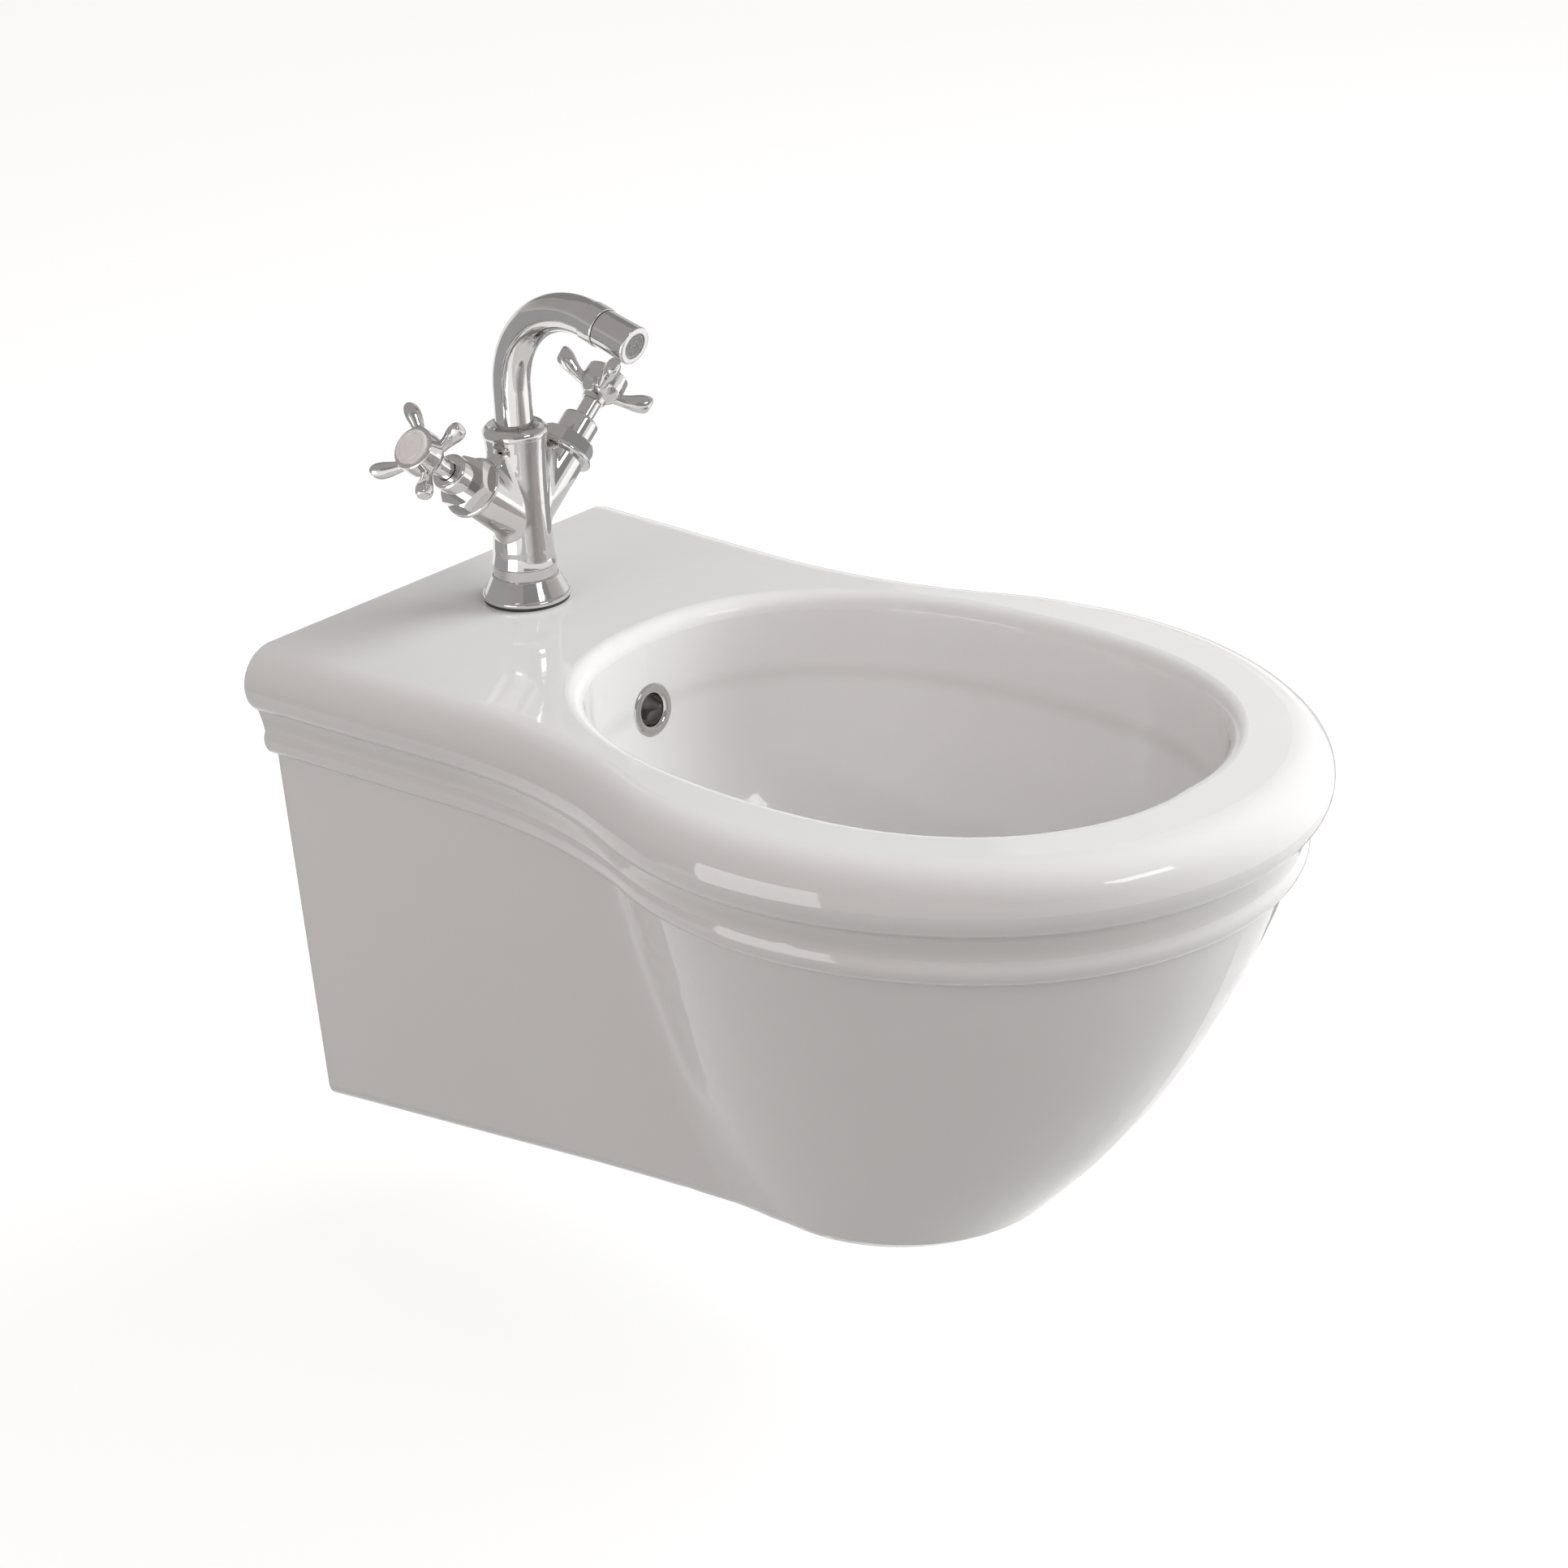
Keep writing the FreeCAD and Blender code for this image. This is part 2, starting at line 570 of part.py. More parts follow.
def tap_body():
    """Waisted column with two raised arms, a socket for the spout and a valve bore in each arm."""
    column = lathe((0, 0), (BODY_R, 0), (BODY_R, BASE_H), (17.0, BASE_H), ((17.4, 20.4), (17.5, 21.0)),
                   ((16.8, 24.5), (BODY_R, 30)), ((BODY_NECK_R, 58), (BODY_TOP_R, BODY_H)),
                   (UPSTAND_R, BODY_H), (UPSTAND_R, UPSTAND_H), (0, UPSTAND_H))
    arms = [placed(rod(ARM_R, 0, ARM_L), arm_place(side)) for side in (-1, 1)]
    body = placed(column, Placement(ORIGIN, Rotation(Z, -90))).multiFuse(arms)
    joins = [edge for edge in body.Edges if isinstance(edge.Curve, Part.BSplineCurve)]
    body = body.makeFillet(ARM_FILLET_R, joins)
    mouth = Part.makeCone(INLET_R + INLET_CHAMFER, INLET_R, INLET_CHAMFER)
    inlet = rod(INLET_R, 0, INLET_DEPTH).fuse(mouth)
    cuts = [rod(STEM_R + FIT, ARM_H - VALVE_BORE_R, BODY_H + 1),
            rod(SPOUT_FLANGE_R + 0.3, BODY_H, UPSTAND_H + 1),
            shifted(rod(STUD_R + FIT, -1, INLET_DEPTH), 0, STUD_Y, 0)]
    for side in (-1, 1):
        cuts.append(shifted(inlet, side * INLET_PLACE[0], INLET_PLACE[1], 0))
        cuts.append(placed(rod(INLET_R, 0, VALVE_SEAT + 1), arm_place(side)))
        cuts.append(placed(rod(VALVE_BORE_R, VALVE_SEAT, ARM_L + 1), arm_place(side)))
    return body.cut(cuts)


def tap_fixing():
    """Stud, horseshoe washer, clamp plate and nut that hold the tap to the deck from below."""
    slot = Part.makeBox(28, CLAMP_R + 5, DEPTH, Vector(-14, -CLAMP_R - 1, -DEPTH / 2))
    stud = shifted(rod(STUD_R, -STUD_FOOT_H, INLET_DEPTH - 1), 0, STUD_Y, 0)
    hole = shifted(rod(STUD_R + FIT, -DEPTH / 2, 0), 0, STUD_Y, 0)
    washer = rod(CLAMP_R, -DECK_T - 3, -DECK_T).cut([slot, hole])
    plate = rod(CLAMP_R, -DECK_T - 5.5, -DECK_T - 3).cut([slot, hole])
    nut = hexagon(10, -DECK_T - 11, -DECK_T - 5.5)
    nut = shifted(nut, 0, STUD_Y, 0).cut(hole)
    return {"tap_stud": stud, "tap_rubber_washer": washer, "tap_clamp_plate": plate, "tap_nut": nut}


def spout_end():
    """Frame of the spout's open end, z along the flow."""
    turn = math.radians(BEND_TURN)
    end = Vector(0, BEND_R * math.cos(turn) - BEND_R, BEND_H + BEND_R * math.sin(turn))
    return Placement(end, Rotation(X, BEND_TURN))


def bent_bar(radius, low):
    """Round bar that rises about the tap's axis and bends forward over the basin."""
    ring = Part.Face(Part.Wire(Part.makeCircle(radius, Vector(0, 0, BEND_H))))
    return rod(radius, low, BEND_H).fuse(ring.revolve(Vector(0, -BEND_R, BEND_H), X, BEND_TURN))


def spout():
    """Swan-neck tube on a turned stem with a retaining flange and two ring grooves."""
    stem = rod(STEM_R, STEM_FOOT_H, BODY_H + 1).fuse(rod(SPOUT_FLANGE_R, BODY_H + 0.2, UPSTAND_H + 0.8))
    outside = fused(stem, bent_bar(SPOUT_R, UPSTAND_H))
    grooves = [tube(STEM_R + 1, STEM_R - 1.75, height - 1.1, height + 1.1) for height in O_RING_H]
    socket = placed(rod(SPOUT_SOCKET_R, -SPOUT_SOCKET_L, 1), spout_end())
    bores = [bent_bar(SPOUT_BORE_R, COLLAR_H), rod(STEM_BORE_R, 0, COLLAR_H + 1), socket]
    return outside.cut(bores + grooves)


def spout_o_rings():
    """Two rubber rings in the stem's grooves."""
    return Part.makeCompound([Part.makeTorus(STEM_R - 0.9, 0.83, Vector(0, 0, height))
                              for height in O_RING_H])


def spout_collar():
    """Dished cap screwed over the spout's flange."""
    inner, step = UPSTAND_R + FIT, UPSTAND_H + 1.2
    return lathe((inner, BODY_H), (BODY_TOP_R, BODY_H), (COLLAR_R, 92.0), ((16.7, 96.6), (14.8, COLLAR_H)),
                 ((12.8, 97.0), (11.4, 95.0)), (SPOUT_R + 0.35, 94.6), (SPOUT_R + 0.35, step), (inner, step))


def nozzle():
    """Swivelling nozzle on the spout's end: ring with ball, socket, sleeve and aerator."""
    ball = Vector(0, 0, PIVOT)
    dish = Part.makeSphere(SEAM_R + 0.33, ball)
    ring = rod(RING_R, 0, RING_L).cut(dish)
    edge = edges_where(ring, lambda box: box.XMax > RING_R - 0.1)
    ring = ring.makeFillet(0.6, [e for e in edge if e.isClosed() and e.BoundBox.ZLength < 0.01])
    plug = rod(SPOUT_SOCKET_R - FIT, 0.5 - SPOUT_SOCKET_L, 0)
    ring = fused(ring, plug, rod(STALK_R, 0, PIVOT), Part.makeSphere(BALL_R, ball))
    ring = ring.cut(rod(1.6, -8, PIVOT + BALL_R + 1))
    shell = Part.makeSphere(SOCKET_R, ball).cut(Part.makeSphere(BALL_R + SLIP, ball))
    openings = [shifted(cone(46, 2 * SOCKET_R, way), 0, 0, PIVOT) for way in (-Z, Z)]
    socket = shell.cut(openings)
    sleeve = lathe((0, 0), (NOZZLE_R, 0), (NOZZLE_R, PIVOT), (NOZZLE_TIP_R, NOZZLE_L - 1.2),
                   ((NOZZLE_TIP_R - 0.35, NOZZLE_L - 0.3), (NOZZLE_TIP_R - 1.1, NOZZLE_L)), (0, NOZZLE_L))
    front = sleeve.common(rod(2 * RING_R, PIVOT, NOZZLE_L))
    tail = sleeve.common(Part.makeSphere(SEAM_R, ball)).fuse(front)
    sleeve = tail.removeSplitter().cut([Part.makeSphere(SOCKET_R + SLIP, ball), openings[0],
                                        rod(NOZZLE_BORE_R, PIVOT, NOZZLE_L + 1)])
    plate = rod(AERATOR_R - 0.5, AERATOR_H - 2, AERATOR_H)
    spots = [(row, column) for row in range(-2, 3) for column in range(-2, 3) if abs(row + column) < 3]
    pitch = AERATOR_R * 0.36
    holes = [shifted(rod(0.75, 0, NOZZLE_L), pitch * (column + row / 2), pitch * row * math.sqrt(0.75), 0)
             for row, column in spots]
    insert = fused(tube(AERATOR_R, AERATOR_R - 1, PIVOT + 9, AERATOR_H + 0.8), plate.cut(holes))
    return {"nozzle_ring": ring, "nozzle_socket": socket, "nozzle_sleeve": sleeve, "aerator": insert}


def lever(angle):
    """One pear-shaped lever, growing from the hub and sweeping forward to its rounded tip."""
    rings = []
    for reach, along, across, deep in LEVER_SECTIONS:
        middle = Vector(reach, 0, along)
        oval = Part.Ellipse(middle + Z * deep, middle + Vector(0, across, 0), middle)
        rings.append(Part.Wire(oval.toShape()))
    return placed(Part.makeLoft(rings, True), Placement(ORIGIN, Rotation(Z, angle)))


def handle(angle):
    """Bell hub with four levers, a spindle socket behind and a recess for the index in front."""
    hub = lathe((0, HUB_START), (6.6, HUB_START), (6.9, HUB_START + 2.5), ((9.9, 83.0), (HUB_R, 87.5)),
                (HUB_R, 91.0), (HUB_R - 0.4, HUB_END - 1.4),
                ((HUB_R - 0.8, HUB_END - 0.4), (HUB_R - 1.8, HUB_END)), (0, HUB_END))
    levers = [lever(angle + 360 * k / LEVERS) for k in range(LEVERS)]
    return fused(hub, *levers).cut([rod(SPINDLE_R + FIT, HUB_START - 1, SPINDLE_END),
                                    rod(SCREW_R + FIT, SPINDLE_END - 1, HUB_END),
                                    rod(INDEX_R + FIT, SPINDLE_END + 2, HUB_END + 1)])


def valve_pieces(angle):
    """Pieces of one valve and its handle, along the spindle's axis from the tap's axis."""
    seat, chamber, shaft = VALVE_SEAT + 2, VALVE_SEAT + 12, SPINDLE_R + FIT
    flange, nut = BONNET_FLANGE_R, ARM_L + 3
    hub = lathe((DISC_R + 0.6, seat), (VALVE_BORE_R - FIT, seat), (VALVE_BORE_R - FIT, ARM_L),
                (flange - 0.8, ARM_L), ((flange, ARM_L + 1.5), (flange - 0.8, nut)), (8, nut),
                (8, HEX_END + 8), (shaft, HEX_END + 8), (shaft, chamber), (DISC_R + 0.6, chamber))
    chamfer = lathe((0, nut), (HEX_FLATS, nut), (HEX_FLATS * 0.575, HEX_END - 1.2),
                    (HEX_FLATS * 0.52, HEX_END), (0, HEX_END))
    hexagonal = hexagon(HEX_FLATS, nut, HEX_END).common(chamfer)
    bonnet = fused(hub, hexagonal.cut(rod(shaft, nut - 1, HEX_END + 1)))
    shroud = lathe((8 + FIT, HEX_END), (SHROUD_R, HEX_END), (SHROUD_R, SHROUD_END - 2.6),
                   ((SHROUD_R - 0.7, SHROUD_END - 0.7), (SHROUD_R - 2.6, SHROUD_END)),
                   (shaft + 0.4, SHROUD_END), (shaft + 0.4, HEX_END + 8.3), (8 + FIT, HEX_END + 8.3))
    disc = seat + DISC_T
    spindle = fused(rod(DISC_R - 0.4, disc + DISC_T, disc + 2 * DISC_T),
                    rod(SPINDLE_R, disc + 2 * DISC_T, SPINDLE_END))
    port = rod(2.4, seat - 1, disc + DISC_T + 1)
    right, left = shifted(port, 4.4, 0, 0), shifted(port, -4.4, 0, 0)
    index = lathe((0, INDEX_FOOT), (INDEX_R, INDEX_FOOT), (INDEX_R, INDEX_FOOT + 2.6),
                  ((INDEX_R - 0.3, INDEX_FOOT + 3.2), (INDEX_R - 1, INDEX_FOOT + 3.5)),
                  (INDEX_RING_R + 0.45, INDEX_FOOT + 3.6), (INDEX_RING_R, INDEX_FOOT + 3.25),
                  (INDEX_RING_R - 0.45, INDEX_FOOT + 3.6), (0, INDEX_FOOT + 3.9))
    screw = fused(rod(SCREW_R, SPINDLE_END - 8, SPINDLE_END + 2),
                  rod(3.5, SPINDLE_END + 2, SPINDLE_END + 4.6))
    return {"bonnet": bonnet, "shroud": shroud,
            "spindle": spindle.cut(rod(SCREW_R + FIT, SPINDLE_END - 9, SPINDLE_END + 1)),
            "fixed_disc": rod(DISC_R + 0.55, seat, disc).cut([left, right]),
            "moving_disc": rod(DISC_R, disc + 0.1, disc + DISC_T).cut(right),
            "seat_seal": tube(VALVE_BORE_R - 0.1, INLET_R + 0.5, VALVE_SEAT, seat),
            "handle": handle(angle), "index": index, "handle_screw": screw}


def waste_body():
    """Flanged waste with overflow slots, a spider for the plug's cartridge and a plain tail."""
    bore, edge, top = WASTE_BORE_R, WASTE_FLANGE_R, deck(DRAIN_H - SEAL_T)
    crown = top + WASTE_FLANGE_T
    foot, step = deck(WASTE_TAIL_H), deck(WASTE_TUBE_H)
    shell = lathe((bore, foot), (WASTE_TAIL_R, foot), (WASTE_TAIL_R, step), (WASTE_TUBE_R, step),
                  (WASTE_TUBE_R, top), (edge, top), ((edge - 0.4, top + 1.6), (edge - 2, crown - 0.2)),
                  (edge - 5.5, crown), (bore + 3.5, top - 0.6), (bore, top - 4))
    slots = [placed(Part.makeBox(10, WASTE_TUBE_R + 1, 9, Vector(-5, 0, deck(DUCT_H) - 4.5)),
                    Placement(ORIGIN, Rotation(Z, 90 * k))) for k in range(4)]
    low, high = deck(CARTRIDGE_H[0] + 8), deck(CARTRIDGE_H[0])
    web = Part.makeBox(3, bore + 1, high - low, Vector(-1.5, 0, low))
    webs = [placed(web, Placement(ORIGIN, Rotation(Z, 45 + 120 * k))) for k in range(3)]
    spider = fused(rod(CARTRIDGE_R + 3, low, high), *webs).cut(rod(CARTRIDGE_R + FIT, low - 1, high + 1))
    return fused(shell.cut(slots), spider)


def waste_pieces():
    """Waste and its push plug, about the drain's axis, with the plug raised."""
    seat, boss = deck(DRAIN_H), deck(DRAIN_BOSS_H)
    top_seal = tube(WASTE_FLANGE_R - 0.5, DRAIN_HOLE_R, seat, seat + SEAL_T)
    lower_seal = tube(DRAIN_BOSS_R - 4, WASTE_TUBE_R + FIT, boss - 4, boss)
    nut = hexagon(60, boss - 14, boss - 4).cut(rod(WASTE_TUBE_R + FIT, boss - 15, boss))
    stop, foot = deck(CARTRIDGE_H[0]), deck(CARTRIDGE_H[1])
    cartridge = fused(rod(CARTRIDGE_R, foot, stop), rod(CARTRIDGE_R + 2.5, stop, stop + 1.5))
    cartridge = cartridge.cut(rod(STEM_PIN_R + FIT, foot + 4, stop + 2))
    under, crown = (deck(below) for below in CAP_H)
    cap = lathe((0, under), (CAP_R - 0.7, under), ((CAP_R, under + 1), (CAP_R - 1, under + 2.4)),
                ((CAP_R / 2, crown - 0.7), (3, crown)), (0, crown))
    cap = fused(cap, rod(7, under - 7.5, under)).cut(rod(STEM_PIN_R + FIT, under - 8, under))
    stem = rod(STEM_PIN_R, stop - 14, under)
    seal = tube(24.5, 7 + FIT, under - 1.7, under)
    return {"waste_body": waste_body(), "waste_top_seal": top_seal, "waste_lower_seal": lower_seal,
            "waste_back_nut": nut, "plug_cartridge": cartridge, "plug_cap": cap, "plug_stem": stem,
            "plug_seal": seal}


def main():
    """Write one file for each piece."""
    tap = {"tap_base_seal": tube(BASE_R - 1, BODY_R + FIT, 0, SEAL_T), "tap_base_ring": tap_base_ring(),
           "tap_body": tap_body(), "spout": spout(), "spout_o_rings": spout_o_rings(),
           "spout_collar": spout_collar()}
    tap.update(tap_fixing())
    for name, shape in nozzle().items():
        tap[name] = placed(shape, spout_end())
    for side, water in ((-1, "cold"), (1, "hot")):
        for name, shape in valve_pieces(REST_ANGLE[water]).items():
            tap[f"{water}_{name}"] = placed(shape, arm_place(side))
    pieces = {"ceramic_body": ceramic_body(), "overflow_ring": overflow_ring(),
              "wall_sleeves": wall_sleeves()}
    pieces.update((name, on_tap(shape)) for name, shape in tap.items())
    pieces.update((name, in_drain(shape)) for name, shape in waste_pieces().items())
    os.makedirs("parts", exist_ok=True)
    for name, shape in pieces.items():
        shape.exportStep(f"parts/{name}.step")


if __name__ == "__main__":
    main()
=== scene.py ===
# %% [markdown]
# # A wall-hung bidet with its tap
#
# The bowl is one casting of white vitreous china under a clear, thick glaze. On its deck stands
# a chromed brass tap with two four-lever handles, a swan-neck spout and a small swivelling
# nozzle. The solids already have every shape, size and joint, so this lesson loads them as a
# fixed frame and gives them light, finishes and the finest details.

# %% Load the solids
import json
import math
import bpy
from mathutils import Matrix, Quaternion, Vector


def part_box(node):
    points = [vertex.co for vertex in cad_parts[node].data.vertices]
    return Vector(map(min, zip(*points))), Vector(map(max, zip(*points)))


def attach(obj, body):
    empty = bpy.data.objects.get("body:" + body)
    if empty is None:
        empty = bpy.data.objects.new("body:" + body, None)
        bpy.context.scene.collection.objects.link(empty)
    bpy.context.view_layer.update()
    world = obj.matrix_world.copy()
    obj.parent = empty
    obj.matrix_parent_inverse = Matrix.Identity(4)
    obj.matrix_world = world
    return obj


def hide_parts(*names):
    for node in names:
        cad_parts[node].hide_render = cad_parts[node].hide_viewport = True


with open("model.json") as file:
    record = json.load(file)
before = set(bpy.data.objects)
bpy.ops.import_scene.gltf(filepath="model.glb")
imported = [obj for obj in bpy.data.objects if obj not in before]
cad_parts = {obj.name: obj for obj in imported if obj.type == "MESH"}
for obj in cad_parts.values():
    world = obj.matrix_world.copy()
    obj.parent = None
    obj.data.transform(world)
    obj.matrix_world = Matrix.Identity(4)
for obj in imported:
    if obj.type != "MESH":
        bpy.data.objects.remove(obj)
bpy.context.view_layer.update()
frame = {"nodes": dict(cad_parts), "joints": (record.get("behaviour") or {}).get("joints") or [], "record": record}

nodes = frame["nodes"]
joints = {joint["name"]: joint for joint in frame["joints"]}
MM = 0.001

# %% [markdown]
# ## Camera
#
# The picture looks down on the bowl from its front left, from about two metres away, with a
# long lens that keeps the rim's oval calm. A camera can be placed by eye, but here two angles
# and a distance from one aimed point are enough, and they say plainly where the photographer
# stood. The small roll is the tilt of a hand-held frame.

# %% Camera
CAMERA_AZIMUTH = -48.58
CAMERA_ELEVATION = 24.133
CAMERA_ROLL = -2.584
CAMERA_DISTANCE = 1.8058
CAMERA_AIM = Vector((-0.03046, -0.275, 0.04858))
FRAME_SENSOR = 36.0
FRAME_LENS = 82.288


def away_from_aim(azimuth, elevation):
    """Unit vector from the aimed point at these angles; azimuth 0 is in front of the bowl."""
    turn, lift = math.radians(azimuth), math.radians(elevation)
    level = math.cos(lift)
    return Vector((math.sin(turn) * level, -math.cos(turn) * level, math.sin(lift)))


view_back = away_from_aim(CAMERA_AZIMUTH, CAMERA_ELEVATION)
bpy.ops.object.camera_add(location=CAMERA_AIM + view_back * CAMERA_DISTANCE)
camera = bpy.context.object
camera.name = "photographer"
camera.rotation_mode = "QUATERNION"
roll = Quaternion((0, 0, 1), math.radians(CAMERA_ROLL))
camera.rotation_quaternion = (-view_back).to_track_quat("-Z", "Y") @ roll
camera.data.sensor_width = FRAME_SENSOR
camera.data.lens = FRAME_LENS
bpy.context.scene.camera = camera
print("camera stands at", [round(value, 3) for value in camera.location])

# %% [markdown]
# ## Helpers for shader nodes
#
# Every finish is wired from nodes. A few small functions keep that readable: one adds a node
# and sets its inputs, one mixes two colours by a mask, one turns a measure into a soft mask,
# and one does sums.


# %% Shader helpers
def add_node(tree, kind, **inputs):
    """New shader node, with the values of its named inputs."""
    made = tree.nodes.new(kind)
    for name, value in inputs.items():
        made.inputs[name.replace("_", " ")].default_value = value
    return made


def new_material(name):
    """Empty node material and its output node."""
    material = bpy.data.materials.new(name)
    material.use_nodes = True
    material.node_tree.nodes.clear()
    return material, material.node_tree.nodes.new("ShaderNodeOutputMaterial")


def mixed_colour(tree, first, second, share):
    """Colour that goes from the first to the second as a mask rises; each a socket or a colour."""
    mixed = add_node(tree, "ShaderNodeMix")
    mixed.data_type = "RGBA"
    ends = [socket for socket in mixed.inputs if socket.type == "RGBA"]
    for end, colour in zip(ends, (first, second)):
        if isinstance(colour, tuple):
            end.default_value = (*colour, 1.0)
        else:
            tree.links.new(colour, end)
    tree.links.new(share, mixed.inputs["Factor"])
    return next(socket for socket in mixed.outputs if socket.type == "RGBA")


def ramp_between(tree, value, start, end):
    """Smooth mask that rises from 0 to 1 as a value goes from start to end."""
    ramp = add_node(tree, "ShaderNodeMapRange", From_Min=start, From_Max=end)
    ramp.interpolation_type = "SMOOTHSTEP"
    tree.links.new(value, ramp.inputs["Value"])
    return ramp.outputs["Result"]


def arithmetic(tree, operation, first, second=0.0):
    """Math node on one socket, on two, or on a socket and a number."""
    made = add_node(tree, "ShaderNodeMath")
    made.operation = operation
    tree.links.new(first, made.inputs[0])
    if isinstance(second, float):
        made.inputs[1].default_value = second
    else:
        tree.links.new(second, made.inputs[1])
    return made.outputs[0]


def object_axes(tree):
    """The x, y and z of Object coordinates, which are metres in the solids' own frame."""
    place = add_node(tree, "ShaderNodeTexCoord")
    axes = add_node(tree, "ShaderNodeSeparateXYZ")
    tree.links.new(place.outputs["Object"], axes.inputs[0])
    return axes.outputs


print("shader helpers ready")

# %% [markdown]
# ## Floor
#
# The bowl hangs on a wall with its rim about 400 mm above the floor, so a soft shadow lies some
# way under it. The floor is a plain pale plane. To the camera, and in mirrors, it glows a
# little as well, which lifts it to the white of the page while the shadow stays; to scattered
# light it is a mid grey, so that little light comes back up under the bowl.

# %% Floor
RIM_ABOVE_FLOOR = 0.400
FLOOR_SPAN = 90.0
FLOOR_GREY = (0.30, 0.292, 0.286, 1.0)
FLOOR_GLOW = 0.785


def seen_directly(tree):
    """Socket that is 1 on rays from the camera, mirrors and glass, and 0 on scattered light."""
    path = add_node(tree, "ShaderNodeLightPath")
    camera_ray, mirror_ray = path.outputs["Is Camera Ray"], path.outputs["Is Glossy Ray"]
    seen = arithmetic(tree, "MAXIMUM", camera_ray, mirror_ray)
    return arithmetic(tree, "MAXIMUM", seen, path.outputs["Is Transmission Ray"])


deck_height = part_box("ceramic_body")[1].z
floor_height = deck_height - RIM_ABOVE_FLOOR
bpy.ops.mesh.primitive_plane_add(size=FLOOR_SPAN, location=(0, 0, floor_height))
floor = bpy.context.object
floor.name = "floor"
floor_finish, output = new_material("pale floor")
tree = floor_finish.node_tree
plain = add_node(tree, "ShaderNodeBsdfDiffuse", Color=FLOOR_GREY)
glow = add_node(tree, "ShaderNodeEmission")
lifted = add_node(tree, "ShaderNodeAddShader")
glow_level = arithmetic(tree, "MULTIPLY", seen_directly(tree), FLOOR_GLOW)
tree.links.new(glow_level, glow.inputs["Strength"])
tree.links.new(plain.outputs[0], lifted.inputs[0])
tree.links.new(glow.outputs[0], lifted.inputs[1])
tree.links.new(lifted.outputs[0], output.inputs["Surface"])
floor.data.materials.append(floor_finish)
print("floor lies at", round(floor_height, 3))

# %% [markdown]
# ## Room
#
# Light reaches the bowl from everywhere in a bright bathroom. One colour all round would do, but
# it leaves chrome flat, so the room goes from grey overhead to pale at the sides. Low down it
# ends in a haze as white as the far floor, so that no horizon shows behind the bowl.

# %% Room
ROOM_HAZE = (0.914, 0.907, 0.90)
ROOM_HORIZON = (0.617, 0.587, 0.579)
ROOM_CEILING = (0.411, 0.391, 0.386)
ROOM_HAZE_BELOW = 0.07
ROOM_HAZE_ENDS = 0.18
ROOM_PALE_BELOW = 0.06
ROOM_GREY_ABOVE = 0.50

world = bpy.data.worlds.new("soft room")
world.use_nodes = True
tree = world.node_tree
direction = add_node(tree, "ShaderNodeTexCoord")
rise = add_node(tree, "ShaderNodeSeparateXYZ")
tree.links.new(direction.outputs["Generated"], rise.inputs[0])
overhead = ramp_between(tree, rise.outputs["Z"], ROOM_PALE_BELOW, ROOM_GREY_ABOVE)
room_colour = mixed_colour(tree, ROOM_HORIZON, ROOM_CEILING, overhead)
above_haze = ramp_between(tree, rise.outputs["Z"], ROOM_HAZE_BELOW, ROOM_HAZE_ENDS)
room_colour = mixed_colour(tree, ROOM_HAZE, room_colour, above_haze)
tree.links.new(room_colour, tree.nodes["Background"].inputs["Color"])
bpy.context.scene.world = world
bpy.context.scene.view_settings.view_transform = "Standard"
print("room made:", world.name)

# %% [markdown]
# ## Lamps
#
# The main light is broad, cool daylight from the right and above, like a tall window, with a
# weaker one below it. Others from the front and the left are warmer and open up the shadows.
# Suns would draw hard shadows, so all are large area lamps. They only light the surfaces: what
# glaze and chrome mirror is set up by itself in the next step.

# %% Lamps
LAMP_DISTANCE = 3.0
LAMP_SIDE = 1.6
DAYLIGHT = (0.945, 0.99, 1.0)
INDOORS = (1.0, 0.985, 0.98)
WARM = (1.0, 0.945, 0.93)
# azimuth and elevation in degrees, power in watts, tint
LAMPS = {
    "window_right": (62.0, 42.0, 61.0, DAYLIGHT),
    "window_low": (50.0, 15.0, 34.0, DAYLIGHT),
    "front_soft": (0.0, 35.0, 22.0, INDOORS),
    "left_soft": (-100.0, 30.0, 13.5, WARM),
    "left_low": (-130.0, -5.0, 15.0, WARM),
}


def face_aim(thing, azimuth, elevation, distance):
    """Put a lamp or card at these angles and this distance from the aimed point, facing it."""
    away = away_from_aim(azimuth, elevation)
    thing.location = CAMERA_AIM + away * distance
    thing.rotation_euler = away.to_track_quat("Z", "Y").to_euler()


for name, (azimuth, elevation, watts, tint) in LAMPS.items():
    bpy.ops.object.light_add(type="AREA")
    light = bpy.context.object
    light.name = name
    light.data.shape = "SQUARE"
    light.data.size = LAMP_SIDE
    light.data.energy = watts
    light.data.color = tint
    light.visible_camera = False
    light.visible_glossy = False
    face_aim(light, azimuth, elevation, LAMP_DISTANCE)
    print("lamp", name, "of", watts, "W")

# %% [markdown]
# ## Cards to be mirrored
#
# Glaze and chrome show what stands round them, so a studio puts up cards: a large dim one
# behind for the deck, one in front, one at the right for the far rim, and two bright ones that
# draw crisp highlights on the moulding. Grey flags behind the tap and beside the bowl keep
# their edges grey, where a mirror among white things would vanish. They are there for
# reflections alone: neither the camera nor the scattered light sees them.

# %% Cards
# azimuth and elevation in degrees, distance, width and height in metres, level
CARDS = {
    "wall_card": (135.0, 36.0, 3.0, 3.0, 2.6, 0.28),
    "front_card": (-15.0, 25.0, 3.0, 4.6, 2.2, 0.30),
    "right_card": (112.0, 28.0, 3.0, 2.2, 1.5, 0.60),
    "left_window": (-102.0, -6.5, 0.80, 0.50, 0.50, 3.20),
    "nose_window": (0.0, 34.0, 3.0, 1.1, 0.4, 5.00),
    "tap_flag": (-150.0, 6.0, 0.75, 0.90, 0.52, 0.40),
    "bowl_flag": (115.0, -18.0, 0.55, 0.70, 0.36, 0.40),
}

